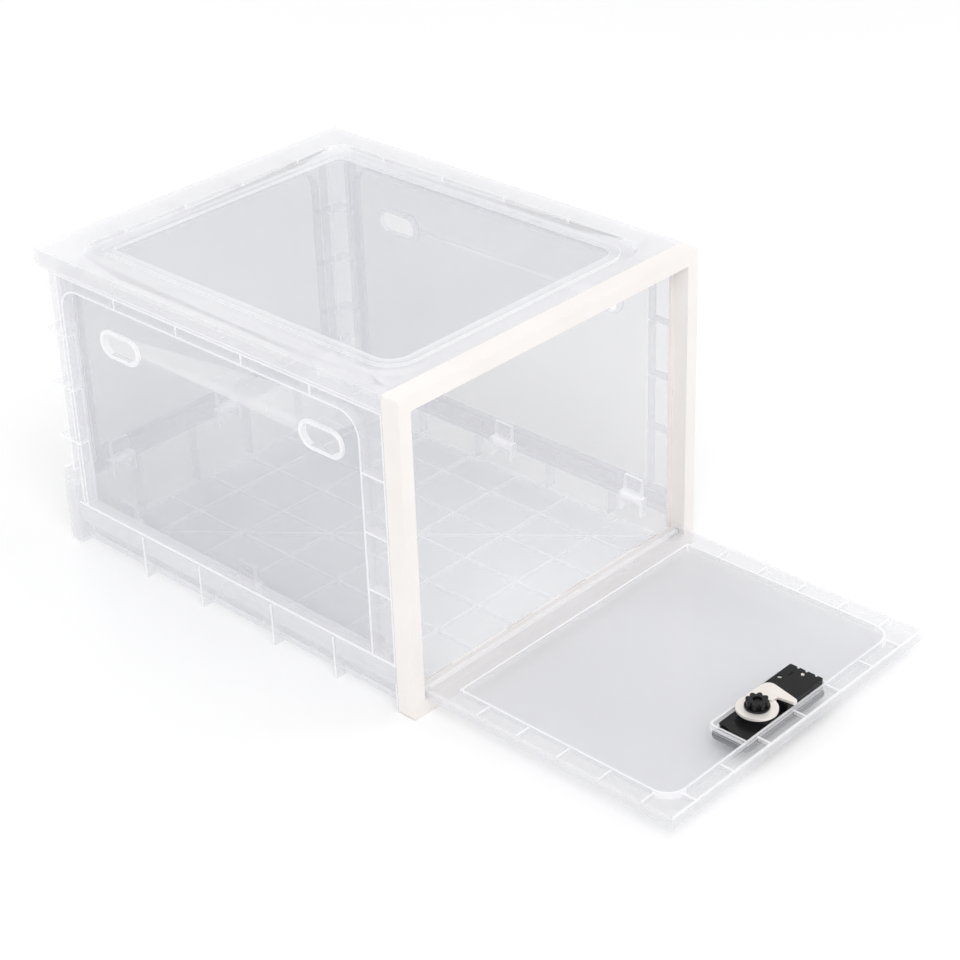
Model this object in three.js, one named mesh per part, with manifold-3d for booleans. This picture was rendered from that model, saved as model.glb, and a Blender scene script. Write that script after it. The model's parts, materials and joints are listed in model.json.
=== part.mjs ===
// A clear stackable storage box for a pair of shoes, with a drop-down front door and a combination lock.
// Millimetres, +Z up. The box stands on z = 0 with its door lying open in front, towards -Y.
// Inside this file y is measured back from the front face of the door frame, and the last lines move
// the whole box so that the origin lies under the middle of the base tray.

import * as THREE from "three";
import { mergeVertices } from "three/addons/utils/BufferGeometryUtils.js";
import Module from "manifold-3d";

const wasm = await Module();
wasm.setup();

// ---------------------------------------------------------------- driving dimensions
const WIDTH = 247;
const DEPTH = 303;
const HEIGHT = 200;
const GAP = 0.3; // between two pieces that touch
const SKIN = 1.8; // moulded wall thickness
const RIB = 1.4; // rib and fin thickness
const CORNER_STEPS = 5; // flats in a quarter turn
const SLIVER = 0.005; // joins can leave slivers thinner than this

const FRAME_DEPTH = 12.3;
const FRAME_BAR = 9;
const FRAME_LIP = 2.4; // how far the door stop stands into the opening
const FRAME_LIP_DEPTH = 1.9;
const SIDE_X = WIDTH / 2;
const SHELL_FRONT = FRAME_DEPTH + GAP;
const STRIKE_Z = 184.5; // lower edge of the tab that the lock's cam hooks behind

const WEB_OUT = 8; // outer face of the tray's upright walls, in from the outside
const WEB_IN = 10.3; // inner face
const LIP_OUT = 0.8; // outer face of the lip and the ledge
const SIDE_LEDGE = 18.8; // height of the ledge that a side wall stands on
const BACK_RISE = 22.5; // the back wall stands this much higher than the side walls
const UPSTAND = 10.2; // lip outside the ledge
const FLOOR_RIB = 2.2; // how far the floor's ribs hold it up
const CELLS = 7; // squares of the floor each way
const CELL_X = 34.5;
const CELL_Y = 42.5;
const TRAY_MID = (SHELL_FRONT + DEPTH) / 2;
const SIDE_FIN_Y = [63, 115, 178, 230];
const BACK_FIN_X = [-70, -23.4, 23.4, 70];

const WALL_OUT = 0.3; // outer edge of a wall's fins
const PLATE_OUT = 8; // outer face of a wall's clear plate
const PLATE_IN = 10; // inner face
const RAIL_OUT = 6.2; // outer face of the thick foot of a wall
const WALL_TOP = 188.6;
const WINDOW_TOP = 180;
const WINDOW_R = 14;
const WALL_FIN_Z = [74, 110.5, 147];
const WALL_END = 286; // back edge of a side wall
const COLUMN_FRONT = 19; // width of a side wall's ribbed columns beside its window
const COLUMN_BACK = 4.6;
const BACK_COLUMN = 9;
const BACK_INSET = 16; // from the outside to the end of the back wall's plate
const WING_Y = [291.3, 293.6]; // the back wall's wings, which close the corners of the box
const GRIP_W = 30;
const GRIP_H = 13;
const GRIP_Z = 151.2;
const GRIP_Y = [68.4, 239.2];
const GRIP_RIM = 2.6;

const FOLD_IN = 13.5; // a wall's hinge axis, in from the outside
const FOLD_Z = 24.5;
const CLIP_W = 14;
const CLIP_R = 3.2;
const CLIP_BORE = 1.4;
const FOLD_PIN_R = 1;
const LUG = 2.4; // thickness of a hinge lug
const LUG_WRAP = 1.7; // how far a lug stands past its pin's axis
const LUG_BACK = 2.7; // how far it stands behind the axis, clear of the turning wall
const LUG_FOOT = 4.8; // how far a lug reaches down its wall
const SIDE_CLIP_Y = [38, 147, 256];
const BACK_CLIP_X = [-88, 0, 88];

const LID_SKIRT_Z = 189.2;
const LID_EDGE = 16; // width of the lid's ribbed border at the sides
const LID_Y = [20, 282];
const LID_PANEL = [195, 197];
const BEAD = 6;
const BEAD_IN = 8.5;
const BEAD_TOP = 199;
const LID_RIB_Y = [34, 86, 138, 190, 242];

const HINGE_Y = 5.4;
const HINGE_Z = 11.1;
const PIN_R = 1.3;
const PIN_LENGTH = 13;
const DOOR_HALF = 113.5;
const DOOR_Z = 9.3; // underside of the open door
const DOOR_TOP = DOOR_Z + 6;
const DOOR_END = -174.1;
const DOOR_CHANNEL = 11.6; // width of the ribbed channel round the door's panel
const DOOR_HINGE_CHANNEL = 14;
const DOOR_SIDE_CHANNEL = 13;
const DOOR_RIB_X = [-92, -60, -28, 4, 35, 66, 93];
const DOOR_RIB_Y = [-36, -65, -94, -123, -152];
const DOOR_LOOP_R = 12;

const LOCK_Y = -150.1;
const SPINDLE_X = -11;
const LOCK_HALF = 34.6;
const LOCK_HALF_Y = 11.2;
const DIAL_X = [7.6, 16.9, 26.2];
const DIAL_Z = 11.2;
const DIAL_R = 5.5;
const DIAL_W = 4.6;
const CAVITY_X = [3, 30.8]; // the hollow that the dials turn in
const CAVITY_Y = [LOCK_Y - 6, LOCK_Y + 6.8];
const BOSS_TOP = 16.8;
const COVER_TOP = 18;
const COVER_SCREW = [20.6, LOCK_Y + 8.3];
const RESET_PIN = [29.9, LOCK_Y - 0.5];
const RING_Z = [17.1, 18.6]; // the cam's ring round the spindle
const RING_R = 11.8;
const ARM_Z = [18.5, 20.1];
const NUT_Z = [18.9, 23.6];
const NUT_BORE = 2.7;

// ---------------------------------------------------------------- solids
function solid(geometry) {
  const bare = geometry.clone();
  bare.deleteAttribute("normal");
  bare.deleteAttribute("uv");
  const merged = mergeVertices(bare, 1e-4);
  const mesh = new wasm.Mesh({
    numProp: 3,
    vertProperties: new Float32Array(merged.attributes.position.array),
    triVerts: new Uint32Array(merged.index.array),
  });
  mesh.merge();
  return new wasm.Manifold(mesh);
}

function box(x, y, z) {
  const geometry = new THREE.BoxGeometry(x[1] - x[0], y[1] - y[0], z[1] - z[0]);
  geometry.translate((x[0] + x[1]) / 2, (y[0] + y[1]) / 2, (z[0] + z[1]) / 2);
  return solid(geometry);
}

// A round bar along one axis, centred on the point given for that axis' span.
function bar(axis, radius, span, centre, sides = 16) {
  const geometry = new THREE.CylinderGeometry(radius, radius, span[1] - span[0], sides);
  const middle = (span[0] + span[1]) / 2;
  if (axis === "x") {
    geometry.rotateZ(Math.PI / 2);
    geometry.translate(middle, centre[0], centre[1]);
  } else if (axis === "y") {
    geometry.translate(centre[0], middle, centre[1]);
  } else {
    geometry.rotateX(Math.PI / 2);
    geometry.translate(centre[0], centre[1], middle);
  }
  return solid(geometry);
}

function extrude(shape, depth, curveSegments = 5) {
  return new THREE.ExtrudeGeometry(shape, { depth, bevelEnabled: false, curveSegments });
}

// An outline in x and y, raised from z[0] to z[1].
function slab(shape, z, curveSegments = 5) {
  const geometry = extrude(shape, z[1] - z[0], curveSegments);
  geometry.translate(0, 0, z[0]);
  return solid(geometry);
}

function join(...parts) {
  return parts.flat(Infinity).reduce((sum, part) => sum.add(part));
}

// A rectangle with its own corner radius at each end: r[0] at the low y end, r[1] at the high y end.
// A radius of 0 leaves sharp corners.
function roundRect(x, y, r) {
  const corners = [
    [x[1] - r[0], y[0] + r[0], r[0], -Math.PI / 2],
    [x[1] - r[1], y[1] - r[1], r[1], 0],
    [x[0] + r[1], y[1] - r[1], r[1], Math.PI / 2],
    [x[0] + r[0], y[0] + r[0], r[0], Math.PI],
  ];
  const points = corners.flatMap((corner) => cornerPoints(...corner));
  return new THREE.Shape(points);
}

function cornerPoints(cx, cy, radius, start) {
  if (radius === 0) {
    return [new THREE.Vector2(cx, cy)];
  }
  const points = [];
  for (let n = 0; n <= CORNER_STEPS; n += 1) {
    const angle = start + (n / CORNER_STEPS) * (Math.PI / 2);
    points.push(new THREE.Vector2(cx + radius * Math.cos(angle), cy + radius * Math.sin(angle)));
  }
  return points;
}

function ring(outer, inner, z, curveSegments = 5) {
  outer.holes.push(inner);
  return slab(outer, z, curveSegments);
}

// ---------------------------------------------------------------- materials
const clear = () =>
  new THREE.MeshStandardMaterial({ color: 0xdfe1e8, roughness: 0.12, transparent: true, opacity: 0.35 });
const white = () => new THREE.MeshStandardMaterial({ color: 0xf6f1ec, roughness: 0.35 });
const black = () => new THREE.MeshStandardMaterial({ color: 0x17171a, roughness: 0.35 });
const nickel = () => new THREE.MeshStandardMaterial({ color: 0xc8bfb2, roughness: 0.3, metalness: 1 });
const steel = () => new THREE.MeshStandardMaterial({ color: 0xb9bcc0, roughness: 0.25, metalness: 1 });

// Slivers that the joins leave, thinner than SLIVER, are closed up before the mesh is made.
function piece(name, manifold, material) {
  const made = manifold.simplify(SLIVER).getMesh();
  const geometry = new THREE.BufferGeometry();
  geometry.setAttribute("position", new THREE.BufferAttribute(made.vertProperties, 3));
  geometry.setIndex(new THREE.BufferAttribute(made.triVerts, 1));
  geometry.computeVertexNormals();
  const mesh = new THREE.Mesh(geometry, material);
  mesh.name = name;
  return mesh;
}

// ---------------------------------------------------------------- base tray
// side is -1 for the left and 1 for the right; a span is measured in from the outside face.
function sideSpan(side, from, to) {
  const ends = [side * (SIDE_X - from), side * (SIDE_X - to)];
  return ends.sort((a, b) => a - b);
}

function backSpan(from, to) {
  return [DEPTH - to, DEPTH - from];
}

function trayFloor() {
  const inside = SIDE_X - WEB_IN + RIB;
  const y = [SHELL_FRONT + 0.5, DEPTH - WEB_IN + RIB];
  const parts = [box([-inside, inside], y, [FLOOR_RIB, FLOOR_RIB + SKIN])];
  const z = [0, FLOOR_RIB + 0.2];
  for (let cell = 1; cell < CELLS; cell += 1) {
    const x = (cell - CELLS / 2) * CELL_X;
    const across = TRAY_MID + (cell - CELLS / 2) * CELL_Y;
    parts.push(box([x - RIB / 2, x + RIB / 2], y, z));
    parts.push(box([-inside, inside], [across - RIB / 2, across + RIB / 2], z));
  }
  parts.push(diagonalRib(inside, z));
  return join(parts);
}

// The one long rib that crosses the floor from the back left corner to the front right corner.
function diagonalRib(inside, z) {
  const angle = Math.atan2(-CELL_Y, CELL_X);
  const length = (2 * (inside - 4)) / Math.cos(angle);
  const geometry = new THREE.BoxGeometry(length, RIB, z[1] - z[0]);
  geometry.rotateZ(angle);
  geometry.translate(0, TRAY_MID, (z[0] + z[1]) / 2);
  return solid(geometry);
}

function traySide(side) {
  const top = SIDE_LEDGE + UPSTAND;
  const full = [SHELL_FRONT, DEPTH];
  const wall = [SHELL_FRONT, DEPTH - WEB_IN + SKIN];
  const parts = [
    box(sideSpan(side, WEB_OUT, WEB_IN), full, [0, SIDE_LEDGE]),
    box(sideSpan(side, LIP_OUT, WEB_IN), wall, [SIDE_LEDGE - SKIN, SIDE_LEDGE]),
    box(sideSpan(side, LIP_OUT, LIP_OUT + SKIN), wall, [SIDE_LEDGE - SKIN, top]),
    box(sideSpan(side, 0, WEB_IN), [SHELL_FRONT, SHELL_FRONT + RIB], [0, SIDE_LEDGE - 0.5]),
  ];
  for (const y of SIDE_FIN_Y) {
    const span = [y - RIB / 2, y + RIB / 2];
    parts.push(box(sideSpan(side, 0, WEB_IN - 0.5), span, [0, SIDE_LEDGE - 0.5]));
    parts.push(box(sideSpan(side, 0, 1.4), span, [SIDE_LEDGE - 2, top - 1]));
  }
  return join(parts, trayCorner(side), SIDE_CLIP_Y.map((y) => sideLugs(side, y)));
}

// The tall back corner of the tray: two outer ribs, and a wall that closes the end of the side ledge.
function trayCorner(side) {
  const z = [0, SIDE_LEDGE + BACK_RISE];
  return join(
    box(sideSpan(side, 0, RIB), [DEPTH - WEB_IN, DEPTH], z),
    box(sideSpan(side, 0, WEB_IN), [DEPTH - RIB, DEPTH], z),
    box(sideSpan(side, 0, WEB_IN), [DEPTH - WEB_IN, DEPTH - WEB_IN + SKIN], z),
  );
}

// Two lugs with a moulded pin between them, which one wall clip snaps over.
function sideLugs(side, y) {
  const half = CLIP_W / 2 + GAP;
  const foot = sideSpan(side, WEB_IN - RIB, WEB_IN + RIB);
  const x = sideSpan(side, FOLD_IN - LUG_BACK, FOLD_IN + LUG_WRAP);
  const z = [SIDE_LEDGE - LUG_FOOT, FOLD_Z + LUG_WRAP];
  const centre = [side * (SIDE_X - FOLD_IN), FOLD_Z];
  const ends = [[y - half - LUG, y - half], [y + half, y + half + LUG]];
  return join(
    ends.map((end) => box(x, end, z)),
    ends.map((end) => box(foot, end, [z[0], SIDE_LEDGE - GAP])),
    bar("y", FOLD_PIN_R, [y - half - 1, y + half + 1], centre, 12),
  );
}

function backLugs(x) {
  const half = CLIP_W / 2 + GAP;
  const foot = backSpan(WEB_IN - RIB, WEB_IN + RIB);
  const y = backSpan(FOLD_IN - LUG_BACK, FOLD_IN + LUG_WRAP);
  const z = [SIDE_LEDGE + BACK_RISE - LUG_FOOT, FOLD_Z + BACK_RISE + LUG_WRAP];
  const centre = [DEPTH - FOLD_IN, FOLD_Z + BACK_RISE];
  const ends = [[x - half - LUG, x - half], [x + half, x + half + LUG]];
  return join(
    ends.map((end) => box(end, y, z)),
    ends.map((end) => box(end, foot, [z[0], SIDE_LEDGE + BACK_RISE - GAP])),
    bar("x", FOLD_PIN_R, [x - half - 1, x + half + 1], centre, 12),
  );
}

function trayBack() {
  const ledge = SIDE_LEDGE + BACK_RISE;
  const x = [-SIDE_X, SIDE_X];
  const inner = [-SIDE_X + LIP_OUT, SIDE_X - LIP_OUT];
  const parts = [
    box(inner, backSpan(WEB_OUT, WEB_IN), [0, ledge]),
    box(x, backSpan(LIP_OUT, WEB_IN), [ledge - SKIN, ledge]),
    box(x, backSpan(LIP_OUT, LIP_OUT + SKIN), [ledge - SKIN, ledge + UPSTAND]),
  ];
  for (const at of BACK_FIN_X) {
    const span = [at - RIB / 2, at + RIB / 2];
    parts.push(box(span, backSpan(0, WEB_IN - 0.5), [0, ledge - 0.5]));
    parts.push(box(span, backSpan(0, 1.4), [ledge - 2, ledge + UPSTAND - 1]));
  }
  return join(parts, BACK_CLIP_X.map(backLugs));
}

function baseTray() {
  const inside = SIDE_X - WEB_IN + RIB;
  const front = box([-inside, inside], [SHELL_FRONT, SHELL_FRONT + SKIN], [0, FRAME_BAR]);
  return join(trayFloor(), front, trayBack(), traySide(-1), traySide(1));
}

// ---------------------------------------------------------------- walls
// A wall is drawn flat, along u from 0 to its length, with v up, and w in from the outside.
function wallPanel(length, v, window, grips) {
  const plate = roundRect([0, length], [v.bottom, v.top], [0, 0]);
  grips.forEach((u) => plate.holes.push(gripOutline(u, 0)));
  const parts = [
    slab(plate, [PLATE_OUT, PLATE_IN], 5),
    box([0, length], [v.rail, v.bottom + 0.2], [RAIL_OUT, PLATE_IN]),
    box([0, length], [v.bottom, v.bottom + SKIN], [WALL_OUT, PLATE_IN]),
    box([0, RIB], [v.bottom, v.top], [WALL_OUT, PLATE_IN]),
    box([length - RIB, length], [v.bottom, v.top], [WALL_OUT, PLATE_IN]),
    box([0, length], [v.top - RIB, v.top], [WALL_OUT, PLATE_IN]),
    windowFlange(v, window),
    grips.map((u) => ring(gripOutline(u, GRIP_RIM), gripOutline(u, 0), [PLATE_OUT - 1.6, PLATE_OUT + 0.5])),
    wallFins(length, v, window),
  ];
  return join(parts);
}

function gripOutline(u, grow) {
  const x = [u - GRIP_W / 2 - grow, u + GRIP_W / 2 + grow];
  const y = [GRIP_Z - GRIP_H / 2 - grow, GRIP_Z + GRIP_H / 2 + grow];
  const r = GRIP_H / 2 + grow - 0.1;
  return roundRect(x, y, [r, r]);
}

// The upright band round the recessed window, with round top corners.
function windowFlange(v, window) {
  const low = v.bottom - 3;
  const outer = roundRect(
    [window[0] - RIB, window[1] + RIB], [low, WINDOW_TOP + RIB], [0, WINDOW_R + RIB]);
  const inner = roundRect(window, [low - 1, WINDOW_TOP], [0, WINDOW_R]);
  const band = slab(outer, [WALL_OUT, PLATE_OUT + 0.5]).subtract(slab(inner, [WALL_OUT - 1, PLATE_IN]));
  const below = box([window[0] - 5, window[1] + 5], [low - 5, v.bottom + 0.5], [WALL_OUT - 1, PLATE_IN]);
  return band.subtract(below);
}

function wallFins(length, v, window) {
  const w = [WALL_OUT, PLATE_OUT + 0.5];
  const fins = [];
  for (const z of WALL_FIN_Z) {
    const span = [z - RIB / 2, z + RIB / 2];
    fins.push(box([0.5, window[0] - 0.5], span, w));
    fins.push(box([window[1] + 0.5, length - 0.5], span, w));
  }
  const count = Math.round(length / 52);
  for (let n = 1; n < count; n += 1) {
    const u = (n * length) / count;
    fins.push(box([u - RIB / 2, u + RIB / 2], [WINDOW_TOP + 0.5, v.top - 0.5], w));
  }
  return join(fins);
}

function wallHeights(rise) {
  const rail = SIDE_LEDGE + rise + 0.6;
  return { rail, bottom: SIDE_LEDGE + UPSTAND + rise + 0.6, top: WALL_TOP };
}

// Stands a flat wall up on one side of the box: u runs back, v up and w inwards.
function standSide(manifold, side) {
  const turn = new THREE.Matrix4();
  turn.set(0, 0, -side, side * SIDE_X, 1, 0, 0, SHELL_FRONT + GAP, 0, 1, 0, 0, 0, 0, 0, 1);
  return place(manifold, turn);
}

function standBack(manifold, half) {
  const turn = new THREE.Matrix4();
  turn.set(1, 0, 0, -half, 0, 0, -1, DEPTH, 0, 1, 0, 0, 0, 0, 0, 1);
  return place(manifold, turn);
}

// Moves a solid by a matrix, and keeps its faces pointing out if the matrix mirrors it.
function place(manifold, matrix) {
  const made = manifold.getMesh();
  const points = new THREE.BufferAttribute(new Float32Array(made.vertProperties), 3);
  points.applyMatrix4(matrix);
  const triVerts = new Uint32Array(made.triVerts);
  if (matrix.determinant() < 0) {
    for (let n = 0; n < triVerts.length; n += 3) {
      [triVerts[n], triVerts[n + 1]] = [triVerts[n + 1], triVerts[n]];
    }
  }
  return new wasm.Manifold(new wasm.Mesh({ numProp: 3, vertProperties: points.array, triVerts }));
}

function sideWall(side) {
  const length = WALL_END - SHELL_FRONT - GAP;
  const window = [COLUMN_FRONT, length - COLUMN_BACK];
  const grips = GRIP_Y.map((y) => y - SHELL_FRONT - GAP);
  return standSide(wallPanel(length, wallHeights(0), window, grips), side);
}

// The back wall has a wing at each end, behind the side wall.
function backWall() {
  const half = SIDE_X - BACK_INSET;
  const heights = wallHeights(BACK_RISE);
  const length = 2 * half;
  const middle = wallPanel(length, heights, [BACK_COLUMN, length - BACK_COLUMN], []);
  const parts = [standBack(middle, half)];
  const z = [heights.bottom + 0.1, heights.top - 0.1];
  [-1, 1].forEach((side) => parts.push(cornerWing(side, z)));
  return join(parts);
}

// A skin parallel to the back wall, ribbed behind, with fins that carry on those of the side wall.
function cornerWing(side, z) {
  const x = sideSpan(side, WALL_OUT, BACK_INSET + RIB / 2);
  const y = [WING_Y[0], DEPTH - WALL_OUT - 0.1];
  const parts = [
    box(x, WING_Y, z),
    box(sideSpan(side, BACK_INSET - 0.1, BACK_INSET + RIB - 0.2), y, z),
    box(x, y, [z[1] - RIB, z[1]]),
  ];
  for (const at of WALL_FIN_Z) {
    const thick = [at - RIB / 2 + 0.05, at + RIB / 2 - 0.05];
    parts.push(box(x, y, thick));
    parts.push(box(sideSpan(side, WALL_OUT, PLATE_OUT), [WALL_END + GAP, y[1] - 1], thick));
  }
  return join(parts);
}

// A hinge clip drawn with its axis along u at the origin; w points into the box and v up.
function clipShape() {
  const shape = new THREE.Shape();
  const face = PLATE_IN + GAP - FOLD_IN;
  shape.moveTo(face, 0);
  shape.lineTo(face, 13.5);
  shape.lineTo(face + 2.2, 13.5);
  shape.lineTo(face + 3.4, CLIP_R + 2);
  shape.lineTo(0, CLIP_R);
  shape.absarc(0, 0, CLIP_R, Math.PI / 2, -Math.PI / 3, true);
  shape.lineTo(CLIP_BORE * Math.cos(Math.PI / 3), -CLIP_BORE * Math.sin(Math.PI / 3));
  shape.absarc(0, 0, CLIP_BORE, -Math.PI / 3, (4 * Math.PI) / 3, false);
  shape.lineTo(CLIP_R * Math.cos((4 * Math.PI) / 3), -CLIP_R * Math.sin(Math.PI / 3));
  shape.absarc(0, 0, CLIP_R, (4 * Math.PI) / 3, Math.PI, true);
  return shape;
}

function sideClip(side, y) {
  const flat = slab(clipShape(), [-CLIP_W / 2, CLIP_W / 2], 4);
  const turn = new THREE.Matrix4();
  turn.set(-side, 0, 0, side * (SIDE_X - FOLD_IN), 0, 0, 1, y, 0, 1, 0, FOLD_Z, 0, 0, 0, 1);
  return place(flat, turn);
}

function backClip(x) {
  const flat = slab(clipShape(), [-CLIP_W / 2, CLIP_W / 2], 4);
  const turn = new THREE.Matrix4();
  turn.set(0, 0, 1, x, -1, 0, 0, DEPTH - FOLD_IN, 0, 1, 0, FOLD_Z + BACK_RISE, 0, 0, 0, 1);
  return place(flat, turn);
}

// ---------------------------------------------------------------- lid
function lidOutline(inset, radii) {
  const half = SIDE_X - LID_EDGE - inset;
  return roundRect([-half, half], [LID_Y[0] + inset, LID_Y[1] - inset], radii);
}

function lid() {
  const whole = () => roundRect([-SIDE_X, SIDE_X], [SHELL_FRONT, DEPTH], [0, 0]);
  const insideSkirt = roundRect(
    [-SIDE_X + SKIN, SIDE_X - SKIN], [SHELL_FRONT + SKIN, DEPTH - SKIN], [0, 0]);
  const border = ring(whole(), lidOutline(0, [24, 10]), [HEIGHT - SKIN, HEIGHT]);
  const skirt = ring(whole(), insideSkirt, [LID_SKIRT_Z, HEIGHT - 1]);
  const step = ring(lidOutline(-SKIN, [25.8, 11.8]), lidOutline(0, [24, 10]), [192, HEIGHT - 1]);
  const panel = slab(lidOutline(-1, [25, 11]), LID_PANEL);
  const bead = ring(
    lidOutline(BEAD_IN, [18, 7]), lidOutline(BEAD_IN + BEAD, [13, 4]), [LID_PANEL[1] - 0.4, BEAD_TOP]);
  return join(border, skirt, step, panel, bead, lidRibs());
}

function lidRibs() {
  const z = [LID_SKIRT_Z + 3, HEIGHT - 1];
  const ribs = [];
  for (const y of LID_RIB_Y) {
    for (const side of [-1, 1]) {
      ribs.push(box(sideSpan(side, 0.5, LID_EDGE + 0.5), [y - RIB / 2, y + RIB / 2], z));
    }
  }
  for (const x of BACK_FIN_X) {
    ribs.push(box([x - RIB / 2, x + RIB / 2], [LID_Y[1] - 0.5, DEPTH - 0.5], z));
  }
  return join(ribs);
}

// ---------------------------------------------------------------- front frame
// Drawn flat in x and height, then stood up on the front of the box.
function upright(shape, y, curveSegments = 6) {
  const geometry = extrude(shape, y[1] - y[0], curveSegments);
  geometry.rotateX(Math.PI / 2);
  geometry.translate(0, y[1], 0);
  return solid(geometry);
}

function frameOpening(inset) {
  return roundRect([-SIDE_X + inset, SIDE_X - inset], [inset, HEIGHT - inset], [1, 1]);
}

function frontFrame() {
  const outline = () => roundRect([-SIDE_X, SIDE_X], [0, HEIGHT], [1.5, 1.5]);
  const bars = outline();
  bars.holes.push(frameOpening(FRAME_BAR));
  const lip = outline();
  lip.holes.push(frameOpening(FRAME_BAR + FRAME_LIP));
  const stop = [FRAME_DEPTH - FRAME_LIP_DEPTH, FRAME_DEPTH];
  const strike = box([SPINDLE_X - 18, SPINDLE_X + 18], stop, [STRIKE_Z, HEIGHT - FRAME_BAR]);
  const whole = join(upright(bars, [0, FRAME_DEPTH]), upright(lip, stop), strike);
  const cuts = [];
  for (const side of [-1, 1]) {
    const ends = [side * (DOOR_HALF - 1), side * (DOOR_HALF + 6.5)].sort((a, b) => a - b);
    cuts.push(bar("x", PIN_R + GAP, ends, [HINGE_Y, HINGE_Z], 20));
  }
  for (const x of [-92, -24, 24, 92]) {
    cuts.push(box([x - 11, x + 11], [10.9, 11.7], [FRAME_BAR + 1, FRAME_BAR + FRAME_LIP + 1]));
  }
  return whole.subtract(join(cuts));
}

// ---------------------------------------------------------------- door, lying open
function doorLoop(grow) {
  const half = DOOR_HALF - DOOR_SIDE_CHANNEL + grow;
  const y = [DOOR_END + DOOR_CHANNEL - grow, -DOOR_HINGE_CHANNEL + grow];
  return roundRect([-half, half], y, [DOOR_LOOP_R + grow, 1]);
}

// The heel turns on the hinge axis, so its lower corner is round about that axis.
function doorHeel() {
  const shape = new THREE.Shape();
  const r = HINGE_Z - DOOR_Z;
  shape.moveTo(HINGE_Y - 3.2, DOOR_Z);
  shape.lineTo(HINGE_Y, DOOR_Z);
  shape.absarc(HINGE_Y, HINGE_Z, r, -Math.PI / 2, 0);
  shape.lineTo(HINGE_Y + r, DOOR_TOP);
  shape.lineTo(HINGE_Y - 3.2, DOOR_TOP);
  const geometry = extrude(shape, 2 * DOOR_HALF, 5);
  const turn = new THREE.Matrix4();
  turn.set(0, 0, 1, -DOOR_HALF, 1, 0, 0, 0, 0, 1, 0, 0, 0, 0, 0, 1);
  geometry.applyMatrix4(turn);
  return solid(geometry);
}

function doorRibs() {
  const z = [DOOR_Z + 0.5, DOOR_TOP - 0.8];
  const ribs = [];
  for (const x of DOOR_RIB_X) {
    const y = [DOOR_END + 0.5, DOOR_END + DOOR_CHANNEL - 0.5];
    ribs.push(box([x - RIB / 2, x + RIB / 2], y, z));
  }
  for (const y of DOOR_RIB_Y) {
    for (const side of [-1, 1]) {
      const x = [side * (DOOR_HALF - 0.5), side * (DOOR_HALF - DOOR_SIDE_CHANNEL + 0.5)];
      x.sort((a, b) => a - b);
      ribs.push(box(x, [y - RIB / 2, y + RIB / 2], z));
    }
  }
  return join(ribs);
}

function lockPocket() {
  const inner = LOCK_HALF + 0.8;
  const y = [DOOR_END + DOOR_CHANNEL - 0.5, LOCK_Y + LOCK_HALF_Y + 0.8];
  const outer = roundRect([-inner - RIB, inner + RIB], [y[0], y[1] + RIB], [0, 3]);
  const hole = roundRect([-inner, inner], [y[0] - 1, y[1]], [0, 1.6]);
  return slab(outer, [DOOR_Z + 0.5, DOOR_TOP]).subtract(slab(hole, [DOOR_Z, DOOR_TOP + 1]));
}

function doorPanel() {
  const y = [DOOR_END, HINGE_Y - 2];
  const skin = box([-DOOR_HALF, DOOR_HALF], y, [DOOR_Z, DOOR_Z + SKIN]);
  const rim = box([-DOOR_HALF, DOOR_HALF], y, [DOOR_Z, DOOR_TOP]).subtract(
    box([-DOOR_HALF + SKIN, DOOR_HALF - SKIN], [DOOR_END + SKIN, 100], [DOOR_Z - 1, DOOR_TOP + 1]));
  const loop = ring(doorLoop(0.7), doorLoop(-0.7), [DOOR_Z + 0.5, DOOR_TOP]);
  const cuts = [
    box([-33, 33], [LOCK_Y - 10.3, LOCK_Y + 10.3], [DOOR_Z - 1, DOOR_Z + SKIN + 0.01]),
    bar("x", PIN_R + 0.05, [DOOR_HALF - 8, DOOR_HALF + 1], [HINGE_Y, HINGE_Z], 20),
    bar("x", PIN_R + 0.05, [-DOOR_HALF - 1, -DOOR_HALF + 8], [HINGE_Y, HINGE_Z], 20),
  ];
  return join(skin, rim, loop, doorRibs(), lockPocket(), doorHeel()).subtract(join(cuts));
}

function hingePin(side) {
  const ends = [side * (DOOR_HALF - 7.7), side * (DOOR_HALF - 7.7 + PIN_LENGTH)];
  return bar("x", PIN_R - 0.25, ends.sort((a, b) => a - b), [HINGE_Y, HINGE_Z], 16);
}

// ---------------------------------------------------------------- combination lock
function lockFacePlate() {
  const outline = roundRect([-37, 37], [LOCK_Y - 13, LOCK_Y + 13], [5, 5]);
  const plate = slab(outline, [7.4, 9]);
  const cuts = DIAL_X.map((x) =>
    box([x - DIAL_W / 2 - 0.5, x + DIAL_W / 2 + 0.5], [LOCK_Y - 6.1, LOCK_Y + 6.1], [6, 10]));
  cuts.push(bar("z", 4.4, [6, 10], [SPINDLE_X, LOCK_Y], 24));
  return plate.subtract(join(cuts));
}

function lockHousing() {
  const body = box([-32.5, 32.5], [LOCK_Y - 9.8, LOCK_Y + 9.8], [9.3, 11.8]);
  const flange = slab(housingOutline(), [11.4, 13.2]);
  const boss = bar("z", 11, [13, BOSS_TOP], [SPINDLE_X, LOCK_Y], 32);
  const cuts = [
    bar("z", 4.4, [9, BOSS_TOP + 1], [SPINDLE_X, LOCK_Y], 24),
    box(CAVITY_X, CAVITY_Y, [9, 14]),
    box([1.5, 33], [LOCK_Y - 1.25, LOCK_Y + 1.25], [DIAL_Z - 1.25, 14]),
  ];
  cuts.push(bar("z", 1.1, [9, 14], COVER_SCREW, 12));
  return join(body, flange, boss).subtract(join(cuts));
}

// One end is cut back at a slant, towards the door's hinge.
function housingOutline() {
  const y = [LOCK_Y - LOCK_HALF_Y, LOCK_Y + LOCK_HALF_Y];
  const corners = [[-LOCK_HALF, y[0]], [LOCK_HALF, y[0]], [LOCK_HALF, y[1]], [5 - LOCK_HALF, y[1]]];
  return new THREE.Shape(corners.map((corner) => new THREE.Vector2(...corner)));
}

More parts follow.
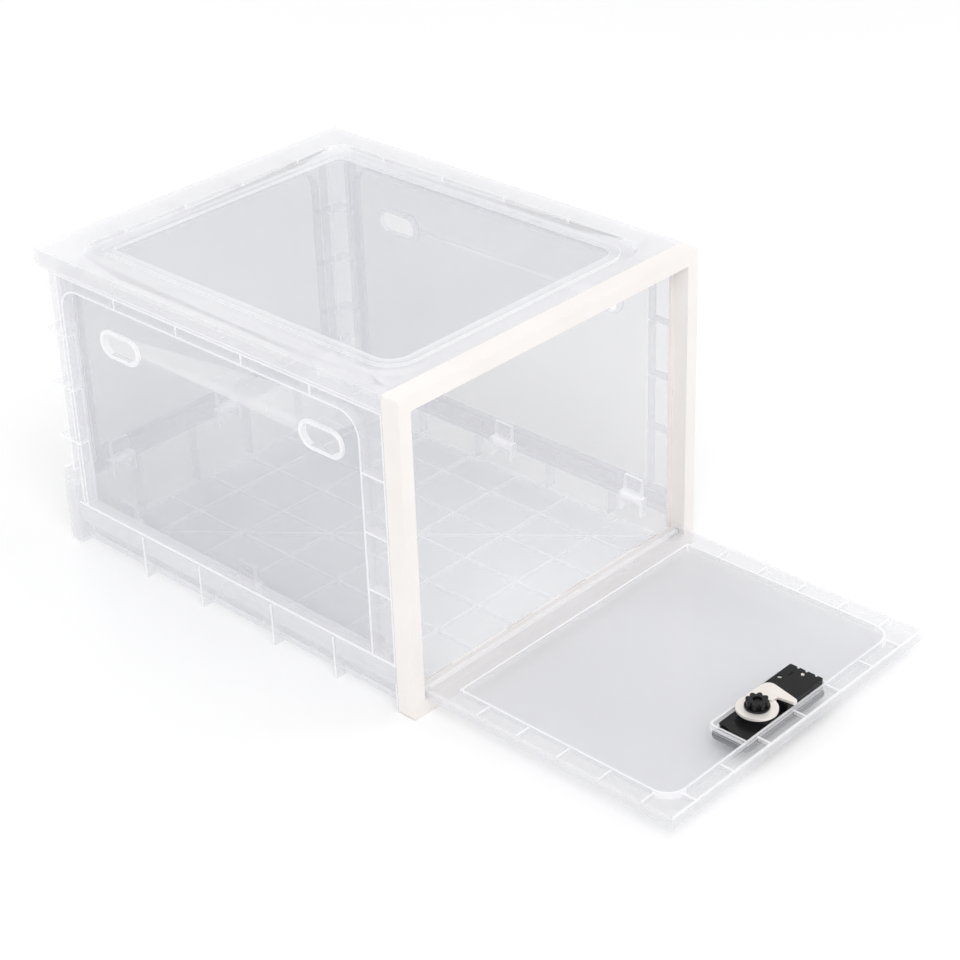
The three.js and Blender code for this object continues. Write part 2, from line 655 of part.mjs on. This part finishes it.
function coverScrew() {
  const [x, y] = COVER_SCREW;
  const head = bar("z", 1.3, [16.4, 17.5], COVER_SCREW, 16);
  const shank = bar("z", 0.8, [9.6, 16.6], COVER_SCREW, 10);
  const slot = box([x - 1, x + 1], [y - 0.2, y + 0.2], [17.1, 18]);
  return head.add(shank).subtract(slot);
}

function lockBackCover() {
  const y = [LOCK_Y - LOCK_HALF_Y, LOCK_Y + LOCK_HALF_Y];
  const shell = slab(roundRect([1.5, LOCK_HALF], y, [1, 1]), [13.5, COVER_TOP]);
  const cuts = [
    box(CAVITY_X, CAVITY_Y, [13, 17]),
    bar("z", 1.3, [15.8, 19], RESET_PIN, 16),
    bar("z", 1.6, [16.1, 19], COVER_SCREW, 16),
    bar("z", 1.1, [13, 17], COVER_SCREW, 12),
    box([2.6, 6.6], [LOCK_Y - 9.8, LOCK_Y - 7], [15.6, 19]),
    box([24, 29], [LOCK_Y + 5, LOCK_Y + 5.6], [17.6, 19]),
  ];
  for (const at of [-6.5, 0, 5.6]) {
    cuts.push(box([LOCK_HALF - 1.2, LOCK_HALF + 1], [LOCK_Y + at - 0.9, LOCK_Y + at + 0.9], [16.2, 19]));
  }
  return shell.subtract(join(cuts));
}

function codeResetPin() {
  const [x, y] = RESET_PIN;
  const stem = bar("z", 1, [17, 18.5], RESET_PIN, 14);
  return stem.subtract(box([x - 1, x + 1], [y - 0.2, y + 0.2], [18.1, 19]));
}

function dialAxle() {
  return bar("x", 0.95, [1.9, 32.2], [LOCK_Y, DIAL_Z], 16);
}

// A number wheel with ten grip notches round its rim.
function dial(x) {
  const span = [x - DIAL_W / 2, x + DIAL_W / 2];
  const centre = [LOCK_Y, DIAL_Z];
  const notches = [];
  for (let n = 0; n < 10; n += 1) {
    const angle = ((n + 0.5) * Math.PI) / 5;
    const at = [LOCK_Y + DIAL_R * Math.sin(angle), DIAL_Z + DIAL_R * Math.cos(angle)];
    notches.push(bar("x", 0.55, [span[0] - 1, span[1] + 1], at, 6));
  }
  const blank = bar("x", DIAL_R, span, centre, 30);
  return blank.subtract(join(notches, bar("x", 2.2, [span[0] - 1, span[1] + 1], centre, 24)));
}

function dialHub(x) {
  const span = [x - DIAL_W / 2 - 1.4, x + DIAL_W / 2 + 1.4];
  const centre = [LOCK_Y, DIAL_Z];
  const hub = bar("x", 1.9, span, centre, 20);
  return hub.subtract(bar("x", 1.25, [span[0] - 1, span[1] + 1], centre, 16));
}

// A leaf spring whose three fingers press on the dials.
function detentSpring() {
  const y = [CAVITY_Y[1] - 0.7, CAVITY_Y[1] - 0.4];
  const leaf = box([CAVITY_X[0] + 0.4, CAVITY_X[1] - 0.4], y, [9.6, 16.6]);
  const cuts = [12.25, 21.55].map((x) => box([x - 1.2, x + 1.2], [y[0] - 1, y[1] + 1], [11.5, 17]));
  return leaf.subtract(join(cuts));
}

function lockKnob() {
  const centre = [SPINDLE_X, LOCK_Y];
  const grip = box([SPINDLE_X - 7, SPINDLE_X + 7], [LOCK_Y - 1.9, LOCK_Y + 1.9], [1.6, 5.2]);
  const parts = [
    bar("z", 8.2, [4.9, 7.1], centre, 40),
    grip,
    bar("z", 4.1, [6.9, BOSS_TOP], centre, 24),
    bar("z", 2.4, [BOSS_TOP - 0.2, 22.4], centre, 16),
  ];
  return join(parts);
}

// The hooked cam is joggled: its ring sits on the boss, and its arm is higher, just over the cover.
function camArmOutline() {
  const shape = new THREE.Shape();
  shape.moveTo(1.5, 9);
  shape.quadraticCurveTo(4, 10.6, 8, 10);
  shape.lineTo(17, 9.4);
  shape.quadraticCurveTo(21.4, 9, 21.6, 4.5);
  shape.lineTo(17.9, -12.6);
  shape.quadraticCurveTo(16.8, -15.6, 14.2, -14.2);
  shape.lineTo(12.8, -4.2);
  shape.lineTo(8.6, -4.2);
  return shape;
}

function cam() {
  const plate = bar("z", RING_R, RING_Z, [0, 0], 40);
  const arm = slab(camArmOutline(), ARM_Z);
  const nutRoom = bar("z", 7.6, [ARM_Z[0] + 0.1, ARM_Z[1] + 1], [0, 0], 24);
  const hole = bar("z", NUT_BORE, [RING_Z[0] - 1, ARM_Z[1] + 1], [0, 0], 16);
  return plate.add(arm.subtract(nutRoom)).subtract(hole).translate([SPINDLE_X, LOCK_Y, 0]);
}

// A hand nut with eight lobes on a round flange.
function camNut() {
  const lobes = [NUT_Z[0] + 0.9, NUT_Z[1]];
  const parts = [bar("z", 7.2, [NUT_Z[0], NUT_Z[0] + 1.1], [0, 0], 32), bar("z", 5, lobes, [0, 0], 24)];
  for (let n = 0; n < 8; n += 1) {
    const angle = ((n + 0.5) * Math.PI) / 4;
    parts.push(bar("z", 1.5, lobes, [5.1 * Math.cos(angle), 5.1 * Math.sin(angle)], 10));
  }
  const bore = bar("z", NUT_BORE, [NUT_Z[0] - 1, NUT_Z[1] + 1], [0, 0], 16);
  return join(parts).subtract(bore).translate([SPINDLE_X, LOCK_Y, 0]);
}

// ---------------------------------------------------------------- the whole box
const storageBox = new THREE.Group();
storageBox.position.y = -TRAY_MID;

function assembly(...meshes) {
  const group = new THREE.Group();
  group.add(...meshes.flat());
  storageBox.add(group);
}

assembly(
  piece("base_tray", baseTray(), clear()),
  piece("back_wall", backWall(), clear()),
  piece("front_frame", frontFrame(), white()),
  BACK_CLIP_X.map((x, n) => piece(`back_wall_clip_${n + 1}`, backClip(x), clear())),
);

for (const [name, side] of [["left", -1], ["right", 1]]) {
  assembly(
    piece(`${name}_wall`, sideWall(side), clear()),
    SIDE_CLIP_Y.map((y, n) => piece(`${name}_wall_clip_${n + 1}`, sideClip(side, y), clear())),
  );
}

assembly(piece("lid", lid(), clear()));

assembly(
  piece("door_panel", doorPanel(), clear()),
  piece("hinge_pin_left", hingePin(-1), steel()),
  piece("hinge_pin_right", hingePin(1), steel()),
  piece("lock_face_plate", lockFacePlate(), black()),
  piece("lock_housing", lockHousing(), black()),
  piece("lock_back_cover", lockBackCover(), black()),
  piece("cover_screw", coverScrew(), steel()),
  piece("dial_axle", dialAxle(), steel()),
  piece("detent_spring", detentSpring(), steel()),
  piece("code_reset_pin", codeResetPin(), nickel()),
);

assembly(
  piece("lock_knob", lockKnob(), black()),
  piece("lock_cam", cam(), nickel()),
  piece("cam_nut", camNut(), black()),
);

DIAL_X.forEach((x, n) => assembly(
  piece(`number_dial_${n + 1}`, dial(x), black()),
  piece(`dial_hub_${n + 1}`, dialHub(x), steel()),
));

export default storageBox;
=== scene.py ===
"""The looks of a clear shoe storage box with a drop-down door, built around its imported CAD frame."""
import json
import math

import bmesh
import bpy
from mathutils import Matrix, Vector


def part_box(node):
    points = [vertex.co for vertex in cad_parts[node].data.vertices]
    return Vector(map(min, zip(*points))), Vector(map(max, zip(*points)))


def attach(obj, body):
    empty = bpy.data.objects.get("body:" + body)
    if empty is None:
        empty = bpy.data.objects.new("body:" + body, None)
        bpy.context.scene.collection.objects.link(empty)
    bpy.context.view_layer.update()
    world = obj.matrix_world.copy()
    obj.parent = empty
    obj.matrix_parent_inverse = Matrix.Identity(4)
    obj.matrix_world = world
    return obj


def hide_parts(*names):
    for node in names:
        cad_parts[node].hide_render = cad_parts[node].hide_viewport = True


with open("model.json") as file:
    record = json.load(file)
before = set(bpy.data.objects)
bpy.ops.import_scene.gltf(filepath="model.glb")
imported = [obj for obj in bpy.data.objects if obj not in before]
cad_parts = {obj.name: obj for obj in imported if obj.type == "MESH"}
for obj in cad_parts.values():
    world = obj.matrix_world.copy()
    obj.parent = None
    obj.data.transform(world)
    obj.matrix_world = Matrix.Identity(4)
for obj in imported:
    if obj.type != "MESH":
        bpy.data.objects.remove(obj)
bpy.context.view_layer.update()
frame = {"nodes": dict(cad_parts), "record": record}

MM = 0.001
BODY_OF = {node: body for body, nodes in frame["record"]["behaviour"]["bodies"].items() for node in nodes}
SLOT_OF = {part["node"]: part["material_slot"] for part in frame["record"]["subparts"]}


# ---------------------------------------------------------------- shader helpers
# Noise scales are per metre: a scale of 100 gives grains about 10 mm across.
# Noise seldom leaves the range from NOISE_LOW to NOISE_HIGH.
NOISE_LOW = 0.3
NOISE_HIGH = 0.7
NOISE_DETAIL = 3.0
SOFT_DETAIL = 2.0


def new_material(name):
    material = bpy.data.materials.new(name)
    material.use_nodes = True
    tree = material.node_tree
    return material, tree, tree.nodes["Principled BSDF"]


def noise(tree, scale, detail=NOISE_DETAIL):
    coordinates = tree.nodes.new("ShaderNodeTexCoord")
    texture = tree.nodes.new("ShaderNodeTexNoise")
    texture.inputs["Scale"].default_value = scale
    texture.inputs["Detail"].default_value = detail
    tree.links.new(coordinates.outputs["Object"], texture.inputs["Vector"])
    return texture.outputs["Fac"]


def spread(tree, value, low, high):
    """Noise stretched to run from low to high."""
    node = tree.nodes.new("ShaderNodeMapRange")
    node.inputs["From Min"].default_value = NOISE_LOW
    node.inputs["From Max"].default_value = NOISE_HIGH
    node.inputs["To Min"].default_value = low
    node.inputs["To Max"].default_value = high
    tree.links.new(value, node.inputs["Value"])
    return node.outputs["Result"]


def bump(tree, shader, height, distance, strength=1.0):
    node = tree.nodes.new("ShaderNodeBump")
    node.inputs["Strength"].default_value = strength
    node.inputs["Distance"].default_value = distance
    tree.links.new(height, node.inputs["Height"])
    tree.links.new(node.outputs["Normal"], shader.inputs["Normal"])


def tint(tree, shader, value, dark, light):
    """Base colour that drifts between dark and light with the noise."""
    ramp = tree.nodes.new("ShaderNodeValToRGB")
    first, last = ramp.color_ramp.elements
    first.position = NOISE_LOW
    last.position = NOISE_HIGH
    first.color = (*dark, 1)
    last.color = (*light, 1)
    tree.links.new(value, ramp.inputs["Fac"])
    tree.links.new(ramp.outputs["Color"], shader.inputs["Base Color"])


# ---------------------------------------------------------------- kinds of material
CLEAR_IOR = 1.49
CLEAR_TONE_SCALE = 9.0
FACING_BLEND = 0.35
RIPPLE_SCALE = 60.0
RIPPLE_DEPTH = 0.04 * MM
RIPPLE_STRENGTH = 0.35
# Colour of the painted glow: emission that lightens shaded clear plastic, which is no lamp.
PAINTED_GLOW_COLOUR = (0.97, 0.97, 1.0, 1)


def clear_material(name, dark, light, alpha, roughness, painted_glow=0.0):
    """Clear moulded plastic: see-through face on, and hazier at a glancing angle.

    alpha is the pair of values face on and at a glancing angle, and the emission strength
    given last is painted light: a glow that lightens the plastic where shade falls, though it is no lamp.
    """
    material, tree, shader = new_material(name)
    tint(tree, shader, noise(tree, CLEAR_TONE_SCALE), dark, light)
    shader.inputs["Roughness"].default_value = roughness
    shader.inputs["IOR"].default_value = CLEAR_IOR
    facing = tree.nodes.new("ShaderNodeLayerWeight")
    facing.inputs["Blend"].default_value = FACING_BLEND
    haze = tree.nodes.new("ShaderNodeMapRange")
    haze.inputs["To Min"].default_value, haze.inputs["To Max"].default_value = alpha
    tree.links.new(facing.outputs["Facing"], haze.inputs["Value"])
    tree.links.new(haze.outputs["Result"], shader.inputs["Alpha"])
    ripple = noise(tree, RIPPLE_SCALE, SOFT_DETAIL)
    bump(tree, shader, ripple, RIPPLE_DEPTH, RIPPLE_STRENGTH)
    # Painted light: the plastic glows though it is no lamp.
    if painted_glow:
        shader.inputs["Emission Color"].default_value = PAINTED_GLOW_COLOUR
        shader.inputs["Emission Strength"].default_value = painted_glow
    return material


PLASTIC_IOR = 1.5
PLASTIC_TONE_SCALE = 22.0
PLASTIC_SHEEN_SCALE = 130.0
GRAIN_DEPTH = 0.02 * MM


def plastic_material(name, dark, light, roughness, grain_scale, gloss=0.5):
    """Opaque moulded plastic with the fine grain of its mould."""
    material, tree, shader = new_material(name)
    tint(tree, shader, noise(tree, PLASTIC_TONE_SCALE), dark, light)
    sheen = spread(tree, noise(tree, PLASTIC_SHEEN_SCALE), *roughness)
    tree.links.new(sheen, shader.inputs["Roughness"])
    shader.inputs["IOR"].default_value = PLASTIC_IOR
    shader.inputs["Specular IOR Level"].default_value = gloss
    bump(tree, shader, noise(tree, grain_scale, SOFT_DETAIL), GRAIN_DEPTH)
    return material


METAL_TONE_SCALE = 90.0
METAL_SHEEN_SCALE = 300.0
BRUSH_SCALE = 900.0
BRUSH_STRETCH = (0.08, 1, 1)
BRUSH_DEPTH = 0.01 * MM
BRUSH_STRENGTH = 0.25


def metal_material(name, dark, light, roughness, metallic):
    """Plated or bright metal, with fine brush marks along X."""
    material, tree, shader = new_material(name)
    tint(tree, shader, noise(tree, METAL_TONE_SCALE), dark, light)
    shader.inputs["Metallic"].default_value = metallic
    sheen = spread(tree, noise(tree, METAL_SHEEN_SCALE), *roughness)
    tree.links.new(sheen, shader.inputs["Roughness"])
    coordinates = tree.nodes.new("ShaderNodeTexCoord")
    stretch = tree.nodes.new("ShaderNodeMapping")
    stretch.inputs["Scale"].default_value = BRUSH_STRETCH
    texture = tree.nodes.new("ShaderNodeTexNoise")
    texture.inputs["Scale"].default_value = BRUSH_SCALE
    tree.links.new(coordinates.outputs["Object"], stretch.inputs["Vector"])
    tree.links.new(stretch.outputs["Vector"], texture.inputs["Vector"])
    bump(tree, shader, texture.outputs["Fac"], BRUSH_DEPTH, BRUSH_STRENGTH)
    return material


PRINT_TONE_SCALE = 900.0
PRINT_ROUGHNESS = 0.55


def print_material():
    """The white paint of the dials' numbers."""
    material, tree, shader = new_material("white_print")
    tint(tree, shader, noise(tree, PRINT_TONE_SCALE), (0.75, 0.75, 0.74), (0.9, 0.9, 0.89))
    shader.inputs["Roughness"].default_value = PRINT_ROUGHNESS
    return material


# ---------------------------------------------------------------- the materials
CLEAR_PANEL = clear_material(
    "clear_plastic_panel", (0.56, 0.565, 0.61), (0.64, 0.645, 0.69),
    alpha=(0.12, 0.42), roughness=0.1)
# The base tray's plates: clear plastic painted lighter, and given a painted glow, to lift the shade that
# falls under the box.
CLEAR_FLOOR_PAINTED_LIGHT = clear_material(
    "clear_plastic_floor_painted_light", (0.77, 0.78, 0.81), (0.83, 0.84, 0.87),
    alpha=(0.12, 0.38), roughness=0.12, painted_glow=0.03)
# The ribs carry a painted glow that lightens them where shade falls.
CLEAR_RIB = clear_material(
    "clear_plastic_rib", (0.76, 0.76, 0.785), (0.82, 0.82, 0.845),
    alpha=(0.22, 0.5), roughness=0.16, painted_glow=0.09)
# The rounded edges carry the strongest painted glow, to lighten them where shade falls.
CLEAR_EDGE = clear_material(
    "clear_plastic_edge", (0.82, 0.82, 0.835), (0.87, 0.87, 0.885),
    alpha=(0.5, 0.78), roughness=0.2, painted_glow=0.18)
WHITE_PLASTIC = plastic_material(
    "white_plastic", (0.88, 0.842, 0.812), (0.92, 0.888, 0.862),
    roughness=(0.28, 0.4), grain_scale=2600.0)
BLACK_PLASTIC = plastic_material(
    "black_plastic", (0.005, 0.005, 0.006), (0.01, 0.01, 0.011),
    roughness=(0.24, 0.4), grain_scale=1800.0, gloss=0.25)
NICKEL = metal_material(
    "nickel", (0.91, 0.85, 0.80), (0.96, 0.91, 0.86), roughness=(0.34, 0.44), metallic=0.4)
STEEL = metal_material(
    "steel", (0.62, 0.63, 0.64), (0.70, 0.71, 0.72), roughness=(0.24, 0.34), metallic=1.0)
PRINT = print_material()

# The finish of broad plates, narrow ribs and rounded edges, in that order.
PLATE, RIB, EDGE = range(3)
FINISH = {
    "clear_plastic": (CLEAR_PANEL, CLEAR_RIB, CLEAR_EDGE),
    "white_plastic": (WHITE_PLASTIC,) * 3,
    "black_plastic": (BLACK_PLASTIC,) * 3,
    "nickel": (NICKEL,) * 3,
    "steel": (STEEL,) * 3,
}
# A face wider than this is a plate, and one narrower than EDGE_WIDTH is the end of a rib or a wall.
PLATE_WIDTH = {"base_tray": 10 * MM}
USUAL_PLATE_WIDTH = 17 * MM
EDGE_WIDTH = 2.4 * MM


# ---------------------------------------------------------------- moulded pieces
WELD_DISTANCE = 0.002 * MM
FLAT_ANGLE = math.radians(0.8)
CORNER_ANGLE = math.radians(32)
ROUNDING_SEGMENTS = 2
ROUNDING = {
    "clear_plastic": 0.28 * MM,
    "white_plastic": 0.9 * MM,
    "black_plastic": 0.22 * MM,
    "nickel": 0.25 * MM,
    "steel": 0.12 * MM,
}


def clean_copy(node, name):
    """A copy of a node's solid with its flat faces made whole again."""
    source = frame["nodes"][node]
    mesh = bpy.data.meshes.new(name)
    shape = bmesh.new()
    shape.from_mesh(source.data)
    shape.transform(source.matrix_world)
    bmesh.ops.remove_doubles(shape, verts=shape.verts, dist=WELD_DISTANCE)
    bmesh.ops.dissolve_limit(shape, angle_limit=FLAT_ANGLE, verts=shape.verts, edges=shape.edges)
    bmesh.ops.recalc_face_normals(shape, faces=shape.faces)
    shape.to_mesh(mesh)
    shape.free()
    piece = bpy.data.objects.new(name, mesh)
    bpy.context.scene.collection.objects.link(piece)
    return piece


def apply_modifiers(piece):
    graph = bpy.context.evaluated_depsgraph_get()
    mesh = bpy.data.meshes.new_from_object(piece.evaluated_get(graph))
    piece.modifiers.clear()
    piece.data = mesh


def mean_width(mesh, polygon):
    """Twice a face's area over its perimeter: the width of a long strip."""
    corners = [mesh.vertices[index].co for index in polygon.vertices]
    perimeter = sum((a - b).length for a, b in zip(corners, corners[1:] + corners[:1]))
    return 2 * polygon.area / perimeter


def finish_of(node):
    """A node's plate, rib and edge materials."""
    plate, rib, edge = FINISH[SLOT_OF[node]]
    # The base tray's plates take the clear plastic painted lighter against the shade under the box.
    return (CLEAR_FLOOR_PAINTED_LIGHT if node == "base_tray" else plate, rib, edge)


def finish_index(node, width):
    if width > PLATE_WIDTH.get(node, USUAL_PLATE_WIDTH):
        return PLATE
    return EDGE if width < EDGE_WIDTH else RIB


def round_edges(piece, radius):
    rounding = piece.modifiers.new("rounding", "BEVEL")
    rounding.width = radius
    rounding.segments = ROUNDING_SEGMENTS
    rounding.limit_method = "ANGLE"
    rounding.angle_limit = CORNER_ANGLE
    rounding.material = EDGE
    rounding.harden_normals = False
    apply_modifiers(piece)
    for polygon in piece.data.polygons:
        polygon.use_smooth = True
    shade = piece.modifiers.new("shade", "WEIGHTED_NORMAL")
    shade.keep_sharp = False
    apply_modifiers(piece)


def moulded(node):
    """Stands for a node with every edge rounded, as it comes out of its mould."""
    piece = clean_copy(node, f"{node}_moulded")
    for material in finish_of(node):
        piece.data.materials.append(material)
    for polygon in piece.data.polygons:
        polygon.material_index = finish_index(node, mean_width(piece.data, polygon))
    round_edges(piece, ROUNDING[SLOT_OF[node]])
    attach(piece, BODY_OF[node])
    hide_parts(node)


for node in frame["nodes"]:
    moulded(node)


# ---------------------------------------------------------------- numbers on the dials
DIALS = (1, 2, 3)
DIGITS = 10
DIGIT_SIZE = 3.0 * MM
DIGIT_RELIEF = 0.06 * MM


def add_digit(name, digit, place):
    curve = bpy.data.curves.new(name, "FONT")
    curve.body = str(digit)
    curve.size = DIGIT_SIZE
    curve.align_x = "CENTER"
    curve.align_y = "CENTER"
    curve.extrude = DIGIT_RELIEF
    text = bpy.data.objects.new(name, curve)
    bpy.context.scene.collection.objects.link(text)
    text.matrix_world = place
    return text


def merge_texts(name, texts):
    """One piece made of all the texts, which are deleted."""
    bpy.context.view_layer.update()
    graph = bpy.context.evaluated_depsgraph_get()
    merged = bmesh.new()
    for text in texts:
        mesh = bpy.data.meshes.new_from_object(text.evaluated_get(graph))
        mesh.transform(text.matrix_world)
        merged.from_mesh(mesh)
        bpy.data.objects.remove(text)
    data = bpy.data.meshes.new(name)
    merged.to_mesh(data)
    merged.free()
    piece = bpy.data.objects.new(name, data)
    bpy.context.scene.collection.objects.link(piece)
    return piece


def add_dial_numbers(dial):
    """The ten numbers round a dial, one on each flat between its grip notches."""
    low, high = (Vector(corner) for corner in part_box(dial))
    radius = (high.z - low.z) / 2
    centre = Matrix.Translation((low + high) / 2)
    outwards = Matrix.Translation((0, 0, -radius)) @ Matrix.Rotation(math.pi, 4, "X")
    texts = []
    for digit in range(DIGITS):
        turn = Matrix.Rotation(digit * math.tau / DIGITS, 4, "X")
        texts.append(add_digit(f"{dial}_digit_{digit}", digit, centre @ turn @ outwards))
    numbers = merge_texts(f"{dial}_numbers", texts)
    numbers.data.materials.append(PRINT)
    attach(numbers, BODY_OF[dial])


for index in DIALS:
    add_dial_numbers(f"number_dial_{index}")


# ---------------------------------------------------------------- room, lights and camera
FLOOR_SIZE = 8
FLOOR_DROP = 0.1 * MM
FLOOR_TONE_SCALE = 3.0
FLOOR_ROUGHNESS = 0.9
FLOOR_GLOSS = 0.1
WORLD_STRENGTH = 0.72
# Each light's place and the point it faces, its side in metres and its power in watts.
LIGHTS = {
    "key": ((-1.1, -1.3, 2.0), (0, -0.05, 0.1), 1.6, 23),
    "fill": ((1.8, -1.0, 1.4), (0, -0.05, 0.1), 1.8, 9),
    "back": ((0.4, 1.9, 1.6), (0, 0, 0.1), 1.6, 9),
}
CAMERA_PLACE = Vector((-0.8352, -0.8998, 0.7450))
CAMERA_YAW = math.radians(46.07)
CAMERA_PITCH = math.radians(29.97)
CAMERA_ROLL = math.radians(-1.96)
CAMERA_LENS = 85.51
CAMERA_SENSOR = 36
CAMERA_NEAREST = 0.05
# Enough for a line of sight to pass through every wall and rib of the box.
TRANSPARENT_BOUNCES = 48
LIGHT_BOUNCES = 10


def add_floor():
    bpy.ops.mesh.primitive_plane_add(size=FLOOR_SIZE, location=(0, 0, -FLOOR_DROP))
    floor = bpy.context.object
    floor.name = "floor"
    material, tree, shader = new_material("floor_paint")
    tone = noise(tree, FLOOR_TONE_SCALE)
    tint(tree, shader, tone, (0.955, 0.955, 0.957), (0.965, 0.965, 0.967))
    shader.inputs["Roughness"].default_value = FLOOR_ROUGHNESS
    shader.inputs["Specular IOR Level"].default_value = FLOOR_GLOSS
    floor.data.materials.append(material)


def add_light(name, place, target, size, power):
    data = bpy.data.lights.new(name, "AREA")
    data.shape = "SQUARE"
    data.size = size
    data.energy = power
    light = bpy.data.objects.new(name, data)
    light.location = place
    aim = Vector(target) - Vector(place)
    light.rotation_euler = aim.to_track_quat("-Z", "Y").to_euler()
    bpy.context.scene.collection.objects.link(light)


def add_world():
    world = bpy.data.worlds.new("studio")
    world.use_nodes = True
    background = world.node_tree.nodes["Background"]
    background.inputs["Color"].default_value = (1, 1, 1, 1)
    background.inputs["Strength"].default_value = WORLD_STRENGTH
    bpy.context.scene.world = world


def add_camera():
    forward = Vector((
        math.sin(CAMERA_YAW) * math.cos(CAMERA_PITCH),
        math.cos(CAMERA_YAW) * math.cos(CAMERA_PITCH),
        -math.sin(CAMERA_PITCH)))
    level = Vector((math.cos(CAMERA_YAW), -math.sin(CAMERA_YAW), 0))
    upright = level.cross(forward)
    right = math.cos(CAMERA_ROLL) * level + math.sin(CAMERA_ROLL) * upright
    up = math.cos(CAMERA_ROLL) * upright - math.sin(CAMERA_ROLL) * level
    data = bpy.data.cameras.new("camera")
    data.lens = CAMERA_LENS
    data.sensor_width = CAMERA_SENSOR
    data.clip_start = CAMERA_NEAREST
    camera = bpy.data.objects.new("camera", data)
    turn = Matrix((right, up, -forward)).transposed().to_4x4()
    camera.matrix_world = Matrix.Translation(CAMERA_PLACE) @ turn
    bpy.context.scene.collection.objects.link(camera)
    bpy.context.scene.camera = camera


add_floor()
for name, settings in LIGHTS.items():
    add_light(name, *settings)
add_world()
add_camera()

scene = bpy.context.scene
scene.view_settings.view_transform = "Standard"
scene.cycles.transparent_max_bounces = TRANSPARENT_BOUNCES
scene.cycles.max_bounces = LIGHT_BOUNCES
